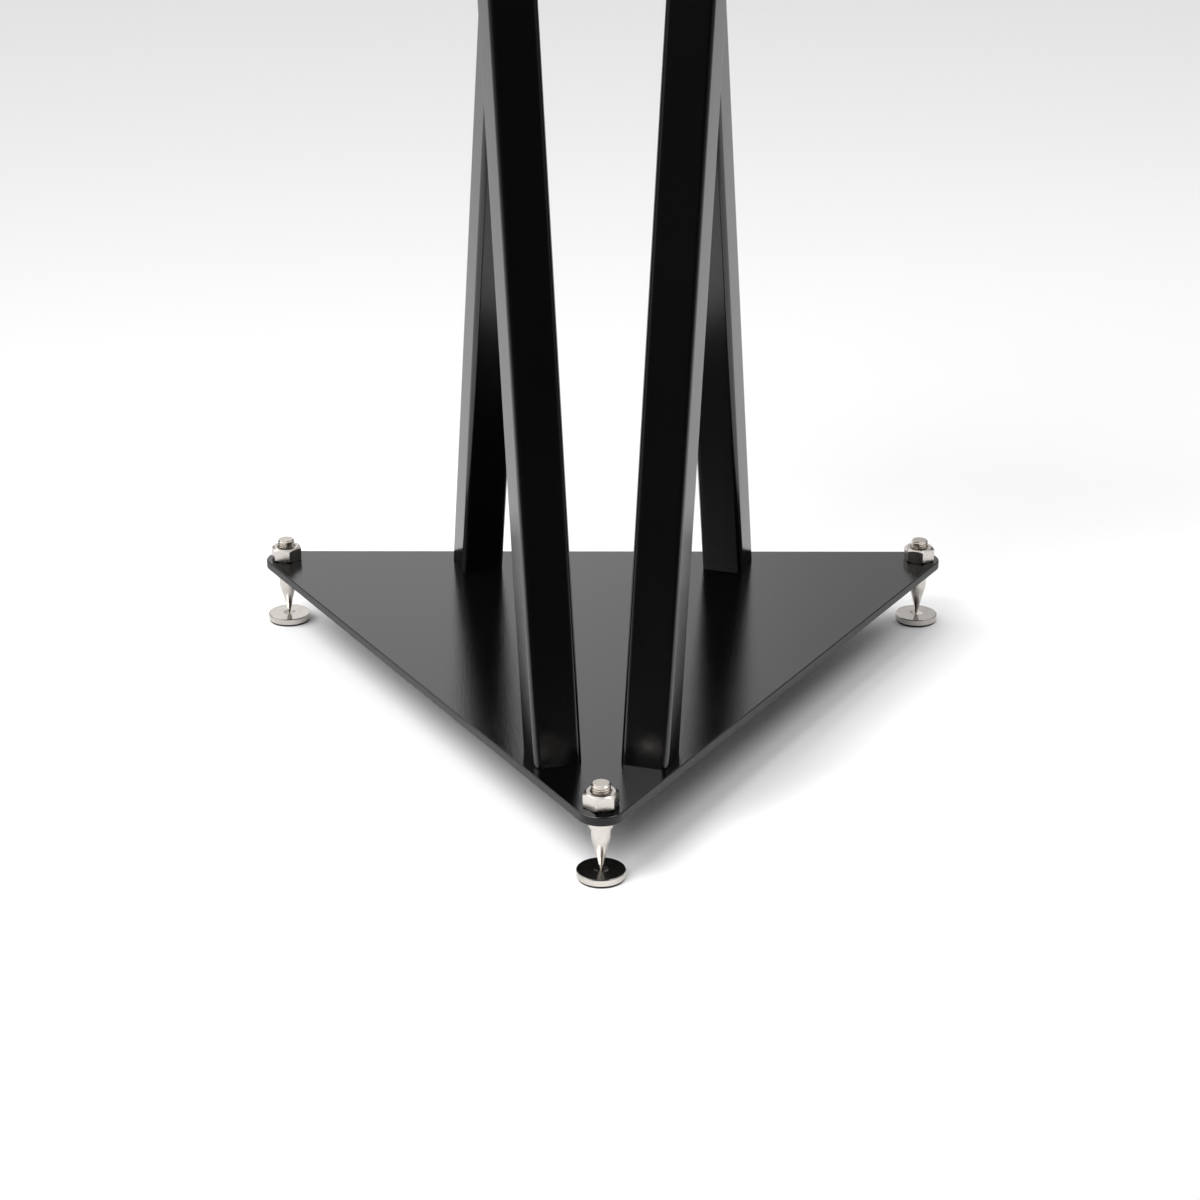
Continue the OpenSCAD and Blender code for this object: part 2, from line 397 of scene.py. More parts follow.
# %% [markdown]
# The four columns stand in two rows. The front pair is close together at the foot and spreads
# upwards, and the rear pair does the opposite. The screws, the holes and the tubes all need the
# places where a column's axis meets the two plates, so two small functions give them.

# %% Places of the columns
COLUMNS = (("front", "left"), ("front", "right"), ("rear", "left"), ("rear", "right"))
SIDES = {"left": -1, "right": 1}
BASE_GAPS = {"front": 40, "rear": 120.4}
TOP_GAPS = {"front": 91, "rear": 56.6}
FRONT_SETBACK = 44.1
REAR_INSET = 16.8
TOP_CENTRE_Y = 21.6
TOP_ROW_GAP = 50

base_rows = {"front": foot_places["front"].y + FRONT_SETBACK, "rear": base_high.y - REAR_INSET}
top_rows = {"front": TOP_CENTRE_Y - TOP_ROW_GAP / 2, "rear": TOP_CENTRE_Y + TOP_ROW_GAP / 2}


def column_foot(row, side):
    """Where a column's axis meets the upper face of the base plate."""
    return Vector((SIDES[side] * BASE_GAPS[row] / 2, base_rows[row], base_high.z))


def column_head(row, side):
    """Where a column's axis meets the lower face of the top plate."""
    return Vector((SIDES[side] * TOP_GAPS[row] / 2, top_rows[row], top_low.z))


for row, side in COLUMNS:
    run = column_head(row, side) - column_foot(row, side)
    print("column", row, side, "is", round(run.length, 1), "mm long")

# %% [markdown]
# Both plates are drilled. Each foot's stud passes through a plain hole, and each column is held by
# a countersunk screw, so the plate has a through hole with a cone at its outer face. A boolean with
# the shape of the drill is what a machinist would do as well. The drill runs a little past the
# faces, so that no face of the drill lies in a face of the plate.

# %% Drill the base plate
STUD_HOLE_R = 4
SCREW_R = 3
HEAD_R = 6
SCREW_HOLE_R = 3.2
DRILL_PAST = 1


def drill(plate, place, middle_z, radius):
    """A plain hole through a plate."""
    tool = start(
        "drill",
        bpy.ops.mesh.primitive_cylinder_add,
        vertices=TURNING_STEPS,
        radius=radius,
        depth=plate_t + 2 * DRILL_PAST,
        location=(place.x, place.y, middle_z),
    )
    carve(plate, tool)


def countersink(plate, place, face_z, inwards):
    """A cone of 90 degrees, wide at the plate's face and narrow further in."""
    depth = HEAD_R - SCREW_R + DRILL_PAST
    tool = start(
        "countersink",
        bpy.ops.mesh.primitive_cone_add,
        vertices=TURNING_STEPS,
        radius1=HEAD_R + DRILL_PAST,
        radius2=SCREW_R,
        depth=depth,
        location=(place.x, place.y, face_z + inwards * (depth / 2 - DRILL_PAST)),
        rotation=(0 if inwards > 0 else math.pi, 0, 0),
    )
    carve(plate, tool)


base_middle = (base_low.z + base_high.z) / 2
for foot in FEET:
    drill(base_plate, foot_places[foot], base_middle, STUD_HOLE_R)
for row, side in COLUMNS:
    place = column_foot(row, side)
    drill(base_plate, place, base_middle, SCREW_HOLE_R)
    countersink(base_plate, place, base_low.z, 1)
smooth(base_plate)
settle(base_plate, "frame", "painted_black", "base_plate")

# %% [markdown]
# The top plate carries the speaker. It is a plain rectangle with rounded corners, so a cube at the
# plate's size is enough of a start: its four upright edges meet at right angles, where a bevel does
# give a true arc. The rims and the screw holes are made as on the base, from above this time.

# %% Top plate
TOP_CORNER_R = 10
TOP_CORNER_STEPS = 16


def is_upright(edge):
    """An edge that runs more upwards than sideways."""
    run = edge.verts[0].co - edge.verts[1].co
    return abs(run.z) > abs(run.x) + abs(run.y)


top_plate = start(
    "top_plate_painted",
    bpy.ops.mesh.primitive_cube_add,
    size=1,
    location=(top_low + top_high) / 2,
    scale=top_high - top_low,
)
edit(top_plate)
pick("EDGE", is_upright)
bpy.ops.mesh.bevel(offset=TOP_CORNER_R, segments=TOP_CORNER_STEPS, affect="EDGES")
soften_rims()
done()
top_middle = (top_low.z + top_high.z) / 2
for row, side in COLUMNS:
    place = column_head(row, side)
    drill(top_plate, place, top_middle, SCREW_HOLE_R)
    countersink(top_plate, place, top_high.z, -1)
smooth(top_plate)
settle(top_plate, "frame", "painted_black", "top_plate")

# %% [markdown]
# The four columns are square steel tube with softly rounded corners. Each one leans in two
# directions and is turned a little about its own axis, so no face of it is square to the plates.
# It could be built slanted, but it is easier upright: a long cube gets its four rounded edges, its
# ends are inset by the wall and bridged through to make the bore, and only then is the whole tube
# leaned into place. Two bisects at the plates' faces cut the mitres, exactly flat on both.
# First come the lean, as a matrix, and the rules that find the edges of a cut end.


# %% Lean of a column
TUBE_TURN = math.radians(17)
LEVEL_CLOSE = 0.01


def lean(row, side):
    """The frame of a column: its Z runs up the axis and its Y out of the rear wall."""
    foot = column_foot(row, side)
    up = (column_head(row, side) - foot).normalized()
    back = Vector((SIDES[side] * math.sin(TUBE_TURN), math.cos(TUBE_TURN), 0))
    back = (back - up * back.dot(up)).normalized()
    across = back.cross(up)
    axes = Matrix((across, back, up)).transposed().to_4x4()
    return Matrix.Translation(foot) @ axes


def lies_at(edge, height):
    """Whether both ends of an edge are at one height."""
    return all(abs(vertex.co.z - height) < LEVEL_CLOSE for vertex in edge.verts)


def is_outer_mitre(edge, axis_place):
    """An edge between the cut end and an outer wall, whose face looks away from the axis."""
    if not lies_at(edge, axis_place.z):
        return False
    walls = [face for face in edge.link_faces if abs(face.normal.z) < STEEP]
    middle = (edge.verts[0].co + edge.verts[1].co) / 2
    return len(walls) == 1 and walls[0].normal.xy.dot(middle.xy - axis_place.xy) > 0


for row, side in COLUMNS:
    lean_angle = math.degrees(lean(row, side).col[2].xyz.angle(UP))
    print("column", row, side, "leans by", round(lean_angle, 1), "degrees")

# %% [markdown]
# Each tube starts a tube's width longer than the gap at both ends, so that the two cuts have
# something to take away. A cut leaves the outer and the inner outline open, and a bridge between
# them closes the wall's end. The outer edge of that end then gets the small bevel that deburring
# and paint leave on a sawn tube.


# %% Columns
TUBE = 20
TUBE_CORNER_R = 2.5
TUBE_CORNER_STEPS = 10
TUBE_WALL = 1.5
MITRE_EDGE = 0.25
MITRE_STEPS = 2


def column(row, side):
    """One leaning tube between the plates."""
    foot = column_foot(row, side)
    head = column_head(row, side)
    length = (head - foot).length + 2 * TUBE
    piece = start(
        f"column_{row}_{side}_painted",
        bpy.ops.mesh.primitive_cube_add,
        size=1,
        location=(0, 0, length / 2 - TUBE),
        scale=(TUBE, TUBE, length),
    )
    edit(piece)
    pick("EDGE", is_upright)
    bpy.ops.mesh.bevel(offset=TUBE_CORNER_R, segments=TUBE_CORNER_STEPS, affect="EDGES")
    pick("FACE", lambda face: abs(face.normal.z) > STEEP)
    bpy.ops.mesh.inset(thickness=TUBE_WALL)
    bpy.ops.mesh.bridge_edge_loops()
    done()
    piece.matrix_world = lean(row, side)
    bpy.ops.object.transform_apply(location=True, rotation=True, scale=True)
    edit(piece)
    bpy.ops.mesh.bisect(plane_co=foot, plane_no=UP, clear_inner=True)
    bpy.ops.mesh.select_all(action="SELECT")
    bpy.ops.mesh.bisect(plane_co=head, plane_no=UP, clear_outer=True)
    for end in (foot, head):
        pick("EDGE", lambda edge: edge.is_boundary and lies_at(edge, end.z))
        bpy.ops.mesh.bridge_edge_loops()
    bpy.ops.mesh.select_all(action="SELECT")
    bpy.ops.mesh.normals_make_consistent(inside=False)
    for end in (foot, head):
        count = pick("EDGE", lambda edge: is_outer_mitre(edge, end))
        bpy.ops.mesh.bevel(offset=MITRE_EDGE, segments=MITRE_STEPS, affect="EDGES")
        print(piece.name, "has", count, "edges round its cut end")
    done()
    smooth(piece)
    return piece


tubes = []
for row, side in COLUMNS:
    tube = column(row, side)
    settle(tube, "frame", "painted_black", f"column_{row}_{side}")
    tubes.append(tube)

# %% [markdown]
# The columns are held by countersunk screws with a hexagon socket, black from their oxide bath.
# A screw is a turned part: flat head, cone of 90 degrees, shank. The socket is a hexagonal punch
# mark, cut by a six-sided tool. Only the heads show, from above the top plate and from below the
# base, because the shanks sit in threaded inserts inside the tubes.

# %% Countersunk screws
SCREW_L = 16
HEAD_EDGE = 0.2
SHANK_CHAMFER = 0.5
SCREW_STEPS = 64
KEY_AF = 4
KEY_DEPTH = 2


def corner_radius(across_flats):
    """From the middle of a hexagon to its corners, from its width across the flats."""
    return across_flats / 2 / math.cos(math.radians(30))


screw_profile = [
    (0, 0),
    (HEAD_R - 2 * HEAD_EDGE, 0),
    (HEAD_R - HEAD_EDGE, HEAD_EDGE / 2),
    (HEAD_R - HEAD_EDGE, HEAD_EDGE),
    (SCREW_R, HEAD_R - SCREW_R),
    (SCREW_R, SCREW_L - SHANK_CHAMFER),
    (SCREW_R - SHANK_CHAMFER, SCREW_L),
    (0, SCREW_L),
]
screw_model = turned("screw_model", screw_profile, SCREW_STEPS)
key_tool = start(
    "key_tool",
    bpy.ops.mesh.primitive_cylinder_add,
    vertices=6,
    radius=corner_radius(KEY_AF),
    depth=2 * KEY_DEPTH,
)
carve(screw_model, key_tool)
smooth(screw_model)
for row, side in COLUMNS:
    foot = column_foot(row, side)
    base_screw = copy_to(screw_model, f"base_screw_{row}_{side}", (foot.x, foot.y, base_low.z))
    settle(base_screw, "frame", "black_screw", "base_screws")

# The same screw, turned over for the top plate
edit(screw_model)
bpy.ops.transform.rotate(
    value=math.pi, orient_axis="X", orient_type="GLOBAL", center_override=(0, 0, 0)
)
done()
for row, side in COLUMNS:
    head = column_head(row, side)
    top_screw = copy_to(screw_model, f"top_screw_{row}_{side}", (head.x, head.y, top_high.z))
    settle(top_screw, "frame", "black_screw", "top_screws")
bpy.data.objects.remove(screw_model)

# %% [markdown]
# Each spike is one turned piece: a sharp cone, a round part, a flange that stops against the plate,
# and above it a stud with an M8 thread. The cone swells a little before it meets the round part, so
# a short curve joins them instead of a hard edge. The flange has a slightly narrower rim below it,
# which shows as a fine step in the highlight. The point is rounded, as a real one is after a few
# knocks, and it stops a hair above the dimple it stands in, so that the two surfaces never cut each
# other while the spike turns.

# %% Spike body
TIP_GAP = 0.01
BODY_R = 4
BODY_H = 21
# Radius and height above the CAD tip, from the point through the cone into the round part
CONE_POINTS = (
    (0, TIP_GAP),
    (0.24, 0.04),
    (0.4, 0.2),
    (2.05, 8),
    (2.6, 10.1),
    (3.18, 11.9),
    (3.6, 13.5),
    (3.84, 14.3),
    (3.96, 15),
    (BODY_R, 15.8),
)
FLANGE_R = 5.2
FLANGE_T = 4
FLANGE_EDGE = 0.12
LOWER_RIM_R = 5
LOWER_RIM_DROP = 1
LOWER_RIM_RISE = 0.3

flange_low = spike_low.z + BODY_H
flange_high = flange_low + FLANGE_T
rim_low = flange_low - LOWER_RIM_DROP
cone_profile = [(radius, spike_low.z + height) for radius, height in CONE_POINTS]
flange_profile = [
    (BODY_R, rim_low),
    (LOWER_RIM_R - FLANGE_EDGE, rim_low),
    (LOWER_RIM_R, rim_low + FLANGE_EDGE),
    (LOWER_RIM_R, flange_low + LOWER_RIM_RISE),
    (FLANGE_R, flange_low + FLANGE_R - BODY_R),
    (FLANGE_R, flange_high - FLANGE_EDGE),
    (FLANGE_R - FLANGE_EDGE, flange_high),
    (0, flange_high),
]
spike_model = turned("spike_model", cone_profile + flange_profile)
print("spike body:", len(spike_model.data.vertices), "vertices")

# %% [markdown]
# The thread is real geometry, because its crests catch the light one by one. One pitch of the
# standard 60 degree profile is drawn as a line, and the Screw modifier winds it up the stud: one
# turn for each pitch, every turn starting where the last one ended. Bisect trims both ends flat,
# and a turned envelope then cuts the chamfer, so the thread runs out on it as on a real stud.

# %% Spike thread
PITCH = 1.25
CREST = PITCH / 8
FLANK = PITCH * 5 / 16
ROOT = PITCH / 4
THREAD_R = 3.95
ROOT_R = THREAD_R - FLANK / math.tan(math.radians(30))
SPARE_TURNS = 2
THREAD_STEPS = 48
STUD_CHAMFER = 0.6

thread_low = flange_low - PITCH
stud_low = flange_low + FLANGE_T / 2
thread_profile = [
    (THREAD_R, thread_low),
    (THREAD_R, thread_low + CREST),
    (ROOT_R, thread_low + CREST + FLANK),
    (ROOT_R, thread_low + CREST + FLANK + ROOT),
    (THREAD_R, thread_low + PITCH),
]
stud = drawn_line("stud", thread_profile)
done()
apply_modifier(
    stud,
    "SCREW",
    axis="Z",
    angle=math.tau,
    screw_offset=PITCH,
    iterations=math.ceil((spike_high.z - flange_low) / PITCH) + SPARE_TURNS,
    steps=THREAD_STEPS,
    render_steps=THREAD_STEPS,
    use_merge_vertices=True,
    merge_threshold=WELD,
)
edit(stud)
bpy.ops.mesh.remove_doubles(threshold=WELD)
bpy.ops.mesh.bisect(plane_co=(0, 0, stud_low), plane_no=UP, clear_inner=True, use_fill=True)
bpy.ops.mesh.select_all(action="SELECT")
trim_high = spike_high.z + PITCH / 3
bpy.ops.mesh.bisect(plane_co=(0, 0, trim_high), plane_no=UP, clear_outer=True, use_fill=True)
bpy.ops.mesh.select_all(action="SELECT")
bpy.ops.mesh.normals_make_consistent(inside=False)
done()
print("stud:", len(stud.data.polygons), "faces,", open_edges(stud), "open edges")

envelope_profile = [
    (0, stud_low - DRILL_PAST),
    (2 * THREAD_R, stud_low - DRILL_PAST),
    (2 * THREAD_R, spike_high.z - THREAD_R - STUD_CHAMFER),
    (THREAD_R - STUD_CHAMFER, spike_high.z),
    (0, spike_high.z),
]
carve(stud, turned("envelope", envelope_profile), "INTERSECT")
carve(spike_model, stud, "UNION")
smooth(spike_model)
for foot in FEET:
    spike = copy_to(spike_model, f"spike_{foot}_turned", foot_places[foot])
    settle(spike, "spike_" + foot, "bright_steel", "spike_" + foot)
bpy.data.objects.remove(spike_model)

# %% [markdown]
# The lock nut is a piece of hexagon bar with its corners chamfered at both ends, more strongly at
# the top than at the foot. The curved line on each flat comes by itself when a cone meets a
# hexagon, so the nut is made as in the workshop: a six-sided prism, kept only where it lies inside
# a turned, chamfered body, then bored. The bore's mouth has a small countersink of its own. Each
# nut was tightened to its own angle, so its turn is set foot by foot.

# %% Lock nuts
NUT_AF = 13
NUT_TOP_SHARE = 0.9
NUT_FOOT_SHARE = 0.96
NUT_SLOPE = math.tan(math.radians(30))
NUT_STEPS = 192
NUT_EDGE = 0.15
NUT_EDGE_STEPS = 3
BORE_R = 4
BORE_MOUTH = 0.45
NUT_TURNS = {"front": -17, "rear_left": 18, "rear_right": 9}

nut_h = nut_high.z - nut_low.z
nut_corner_r = corner_radius(NUT_AF)
nut_top_r = NUT_AF / 2 * NUT_TOP_SHARE
nut_foot_r = NUT_AF / 2 * NUT_FOOT_SHARE
nut_model = start(
    "nut_model",
    bpy.ops.mesh.primitive_cylinder_add,
    vertices=6,
    radius=nut_corner_r,
    depth=nut_h,
    location=(0, 0, nut_h / 2),
)
edit(nut_model)
pick("EDGE", is_upright)
bpy.ops.mesh.bevel(offset=NUT_EDGE, segments=NUT_EDGE_STEPS, affect="EDGES")
done()
chamfer_profile = [
    (0, 0),
    (nut_foot_r, 0),
    (nut_corner_r, (nut_corner_r - nut_foot_r) * NUT_SLOPE),
    (nut_corner_r, nut_h - (nut_corner_r - nut_top_r) * NUT_SLOPE),
    (nut_top_r, nut_h),
    (0, nut_h),
]
carve(nut_model, turned("chamfer_body", chamfer_profile, NUT_STEPS), "INTERSECT")
bore_profile = [
    (0, -DRILL_PAST),
    (BORE_R + BORE_MOUTH + DRILL_PAST, -DRILL_PAST),
    (BORE_R, BORE_MOUTH),
    (BORE_R, nut_h - BORE_MOUTH),
    (BORE_R + BORE_MOUTH + DRILL_PAST, nut_h + DRILL_PAST),
    (0, nut_h + DRILL_PAST),
]
carve(nut_model, turned("bore", bore_profile))
smooth(nut_model, SHARP_FROM_FINE)
for foot in FEET:
    place = foot_places[foot] + Vector((0, 0, nut_low.z))
    nut = copy_to(nut_model, f"lock_nut_{foot}_milled", place, NUT_TURNS[foot])
    settle(nut, "nut_" + foot, "bright_steel", "lock_nut_" + foot)
bpy.data.objects.remove(nut_model)

# %% [markdown]
# A spike would mark the floor, so its point stands in the dimple of a turned disc, and under the
# disc is a thin soft pad. The disc's profile has small chamfers at its rim and a shallow cone in
# the middle with a rounded lip. The pad is cut from sheet, so its edge is only just softened.

# %% Floor discs and pads
DISC_EDGE = 0.3
DISC_STEPS = 128
DIMPLE_R = 2.8
DIMPLE_DEPTH = 0.8
DIMPLE_FLAT_R = 0.7
LIP = 0.25
FLOOR_PAD_R = 9.5
FLOOR_PAD_EDGE = 0.12

disc_r = (disc_high.x - disc_low.x) / 2
disc_profile = [
    (0, disc_low.z),
    (disc_r - DISC_EDGE, disc_low.z),
    (disc_r, disc_low.z + DISC_EDGE),
    (disc_r, disc_high.z - DISC_EDGE),
    (disc_r - DISC_EDGE / 3, disc_high.z - DISC_EDGE / 3),
    (disc_r - DISC_EDGE, disc_high.z),
    (DIMPLE_R + LIP, disc_high.z),
    (DIMPLE_R, disc_high.z - LIP / 4),
    (DIMPLE_R - LIP, disc_high.z - LIP),
    (DIMPLE_FLAT_R, disc_high.z - DIMPLE_DEPTH),
    (0, disc_high.z - DIMPLE_DEPTH),
]
disc_model = turned("disc_model", disc_profile, DISC_STEPS)
smooth(disc_model, SHARP_FROM_FINE)
floor_pad_profile = [
    (0, 0),
    (FLOOR_PAD_R - FLOOR_PAD_EDGE, 0),
    (FLOOR_PAD_R, FLOOR_PAD_EDGE),
    (FLOOR_PAD_R, disc_low.z - FLOOR_PAD_EDGE),
    (FLOOR_PAD_R - FLOOR_PAD_EDGE, disc_low.z),
    (0, disc_low.z),
]
floor_pad_model = turned("floor_pad_model", floor_pad_profile)
smooth(floor_pad_model)
for foot in FEET:
    disc = copy_to(disc_model, f"floor_disc_{foot}_turned", foot_places[foot])
    settle(disc, "foot_" + foot, "bright_steel", "floor_disc_" + foot)
    pad = copy_to(floor_pad_model, f"floor_pad_{foot}_cut", foot_places[foot])
    settle(pad, "foot_" + foot, "soft_black", "floor_pad_" + foot)
bpy.data.objects.remove(disc_model)
bpy.data.objects.remove(floor_pad_model)

# %% [markdown]
# Four round rubber pads carry the speaker and keep it from sliding. A moulded pad has a rounded
# upper edge, and its upright wall leans in slightly so that it leaves the mould.

# %% Top pads
PAD_ROUND = 0.6
PAD_ROUND_STEPS = 6
PAD_DRAFT = 0.1


def quarter_round(centre_r, centre_z, radius, steps):
    """Profile points of a rounded upper edge, from its wall up to its flat."""
    angles = [math.pi / 2 * step / steps for step in range(steps + 1)]
    return [
        (centre_r + radius * math.cos(angle), centre_z + radius * math.sin(angle))
        for angle in angles
    ]


pad_low, pad_high = box_mm("top_pad_front_left")
pad_r = (pad_high.x - pad_low.x) / 2
round_r = pad_r - PAD_DRAFT - PAD_ROUND
round_z = pad_high.z - PAD_ROUND
top_pad_profile = [(0, pad_low.z), (pad_r, pad_low.z)]
top_pad_profile += quarter_round(round_r, round_z, PAD_ROUND, PAD_ROUND_STEPS)
top_pad_profile += [(0, pad_high.z)]
top_pad_model = turned("top_pad_model", top_pad_profile)
smooth(top_pad_model)
for row, side in COLUMNS:
    name = f"top_pad_{row}_{side}"
    low, high = box_mm(name)
    place = ((low.x + high.x) / 2, (low.y + high.y) / 2, 0)
    top_pad = copy_to(top_pad_model, name + "_moulded", place)
    settle(top_pad, "frame", "soft_black", name)
bpy.data.objects.remove(top_pad_model)

# %% [markdown]
# Materials in Blender are graphs of nodes, and sums written as nodes are hard to read. This small
# class wraps a node's output, so that a mask can be written as 1 - wear * 0.5 and Python adds the
# Math nodes. One method, add, makes every other kind of node from its settings and its inputs.


# %% Shader maths
class Value:
    """An output socket that can be used in a sum."""

    def __init__(self, graph, socket):
        self.graph = graph
        self.socket = socket

    def maths(self, operation, first, second):
        return self.graph.add("Math", {"operation": operation}, {0: first, 1: second})

    def __add__(self, other):
        return self.maths("ADD", self, other)

    def __radd__(self, other):
        return self.maths("ADD", other, self)

    def __sub__(self, other):
        return self.maths("SUBTRACT", self, other)

    def __rsub__(self, other):
        return self.maths("SUBTRACT", other, self)

    def __mul__(self, other):
        return self.maths("MULTIPLY", self, other)

    def __rmul__(self, other):
        return self.maths("MULTIPLY", other, self)


class Graph:
    """The nodes of one material or of the world."""

    def __init__(self, owner):
        owner.use_nodes = True
        self.tree = owner.node_tree
        self.tree.nodes.clear()

    def add(self, kind, settings=None, inputs=None, output=0):
        """Adds a node, sets it, fills its inputs with values or links, and returns an output."""
        node = self.tree.nodes.new("ShaderNode" + kind)
        for name, value in (settings or {}).items():
            setattr(node, name, value)
        for key, value in (inputs or {}).items():
            if isinstance(value, Value):
                self.tree.links.new(value.socket, node.inputs[key])
            else:
                node.inputs[key].default_value = value
        if not len(node.outputs):
            return None
        return Value(self, node.outputs[output])


# %% [markdown]
# The finishes below are all built alike. Noise on the piece's own coordinates stays with the piece
# when it moves, a colour mix lets the noise wander between two tones, and a bump turns another
# noise into relief. Each of these is one short function, and so is the last step, the shader and
# the material's output.


# %% Helpers for finishes
def noise(place, scale, detail):
    """Soft random patches, about one to a length of 1 / scale."""
    return place.graph.add("TexNoise", inputs={"Vector": place, "Scale": scale, "Detail": detail})


def tone(share, first, second):
    """A colour between two others. Inputs 6 and 7 of a Mix node are colours, and so is output 2."""
    settings = {"data_type": "RGBA"}
    return share.graph.add("Mix", settings, {0: share, 6: first, 7: second}, output=2)


def relief(pattern, height):
    """A bump as high as a length in metres, of which the pattern gives the share."""
    return pattern.graph.add("Bump", inputs={"Height": pattern, "Strength": 1, "Distance": height})


def rise(value, low, high):
    """Rises smoothly from 0 at low to 1 at high."""
    settings = {"interpolation_type": "SMOOTHSTEP"}
    return value.graph.add("MapRange", settings, {"Value": value, "From Min": low, "From Max": high})


def new_finish(name):
    """A material with an empty graph, and the coordinates of the piece in metres."""
    material = bpy.data.materials.new(name)
    graph = Graph(material)
    return material, graph, graph.add("TexCoord", output="Object")


def finish_with(graph, **inputs):
    """Ends a material's graph with its shader, whose inputs are named with _ for a space."""
    named = {name.replace("_", " "): value for name, value in inputs.items()}
    shader = graph.add("BsdfPrincipled", inputs=named)
    graph.add("OutputMaterial", inputs={"Surface": shader})


def dress(material, *pieces):
    """Gives pieces or CAD nodes one material in place of what they had."""
    for piece in pieces:
        piece.data.materials.clear()
        piece.data.materials.append(material)


def pieces_of(slot):
    """Every finished piece that names a material slot."""
    return [piece for piece in bpy.context.scene.objects if piece.get("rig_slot") == slot]


# %% [markdown]
# The black paint is a satin powder coat. Powder melts into a skin that is never quite level: it
# keeps a fine ripple, a little under a millimetre across, like the skin of an orange. That ripple
# blurs the columns' reflections in the plate and gives them a grainy edge. So the colour is nearly
# a constant black, and the work is in the bump: one noise for the ripple, a finer one for grain.
# The tubes are drawn steel, smoother under the coat than the plates. Where a plate was cut, the
# steel is rougher and its skin is drier. The same graph makes all three finishes, and the edge
# finish goes to the faces of the plates that don't look up or down.

# %% Powder coat
PAINT_BLACK = (0.0008, 0.0008, 0.0009, 1)
PAINT_WORN = (0.0024, 0.0024, 0.0027, 1)
RIPPLE_SCALE = 1400
GRAIN_SCALE = 2600
GRAIN_SHARE = 0.2
PATCH_SCALE = 14
PATCH_ROUGHNESS = 0.05
PLATE_COAT = {"roughness": 0.10, "ripple_height": 0.062 * MM, "shine": 0.6}
TUBE_COAT = {"roughness": 0.15, "ripple_height": 0.012 * MM, "shine": 0.6}
EDGE_COAT = {"roughness": 0.40, "ripple_height": 0.030 * MM, "shine": 0.38}


def powder_coat(name, roughness, ripple_height, shine):
    """Black powder coat: how dry its skin is, how high its ripple, how strongly it mirrors."""
    material, graph, place = new_finish(name)
    ripple = noise(place, RIPPLE_SCALE, detail=1.5)
    grain = noise(place, GRAIN_SCALE, detail=1)
    patches = noise(place, PATCH_SCALE, detail=3)
    finish_with(
        graph,
        Base_Color=tone(patches, PAINT_BLACK, PAINT_WORN),
        Roughness=roughness + patches * PATCH_ROUGHNESS,
        Specular_IOR_Level=shine,
        Normal=relief(ripple + grain * GRAIN_SHARE, ripple_height),
    )
    return material


plate_skin = powder_coat("powder_coat_plates", **PLATE_COAT)
tube_skin = powder_coat("powder_coat_tubes", **TUBE_COAT)
edge_skin = powder_coat("powder_coat_edges", **EDGE_COAT)
dress(tube_skin, *tubes)
for plate in (base_plate, top_plate):
    dress(plate_skin, plate)
    plate.data.materials.append(edge_skin)
    edges = [face for face in plate.data.polygons if abs(face.normal.z) < STEEP]
    for face in edges:
        face.material_index = 1
    print(plate.name, "has", len(edges), "edge faces")
print("powder coat on", len(pieces_of("painted_black")), "pieces")

# %% [markdown]
# The feet are bright turned steel with a warm tone. A lathe leaves rings: on a flat face they lie
# round the axis, on a round face they lie one above the other. Both are the same pattern, a noise
# of radius plus height, measured from the foot's own axis. The rings are too fine to see one by
# one. They show as streaks in the highlights. Each foot has its own axis, so the finish is made by
# a function, and a Mapping node moves the pattern's middle to that axis. Above the flange a spike
# is rolled thread, browner and duller than turned steel, so its colour changes with the height.

# %% Turned steel
STEEL_LIGHT = (0.63, 0.60, 0.565, 1)
STEEL_DARK = (0.48, 0.45, 0.415, 1)
HAZE_SCALE = 260
HAZE_ROUGHNESS = 0.12
RING_SCALE = 6000
BROAD_RING_SCALE = 0.12
BROAD_RING_SHARE = 2
RING_HEIGHT = 0.0025 * MM
THREAD_TONE = (0.53, 0.49, 0.445, 1)
THREAD_DULL = 0.04
# A height in metres that nothing on the stand reaches
NO_THREAD = 1
SPIKE_ROUGHNESS = 0.14
DISC_ROUGHNESS = 0.13
NUT_ROUGHNESS = 0.22


def ring_noise(along, scale):
    """Noise that varies in one direction only, here with the radius plus the height."""
    settings = {"noise_dimensions": "1D"}
    return along.graph.add("TexNoise", settings, {"W": along, "Scale": scale, "Detail": 2})


def turned_steel(name, foot, roughness, thread_from=NO_THREAD):
    """Bright steel with lathe rings round one foot's axis, and rolled thread above a height."""
    material, graph, place = new_finish(name)
    centred = graph.add("Mapping", inputs={"Vector": place, "Location": -foot_places[foot] * MM})
    flat = graph.add("VectorMath", {"operation": "MULTIPLY"}, {0: centred, 1: (1, 1, 0)})
    radius = graph.add("VectorMath", {"operation": "LENGTH"}, {0: flat}, output="Value")
    height = graph.add("SeparateXYZ", inputs={"Vector": centred}, output="Z")
    along = (radius + height) * RING_SCALE
    rings = ring_noise(along, 1) + ring_noise(along, BROAD_RING_SCALE) * BROAD_RING_SHARE
    haze = noise(centred, HAZE_SCALE, detail=3)
    rolled = graph.add("Math", {"operation": "GREATER_THAN"}, {0: height, 1: thread_from})
    finish_with(
        graph,
        Base_Color=tone(rolled, tone(haze, STEEL_DARK, STEEL_LIGHT), THREAD_TONE),
        Metallic=1,
        Roughness=roughness + haze * HAZE_ROUGHNESS + rolled * THREAD_DULL,
        Normal=relief(rings, RING_HEIGHT),
    )
    return material


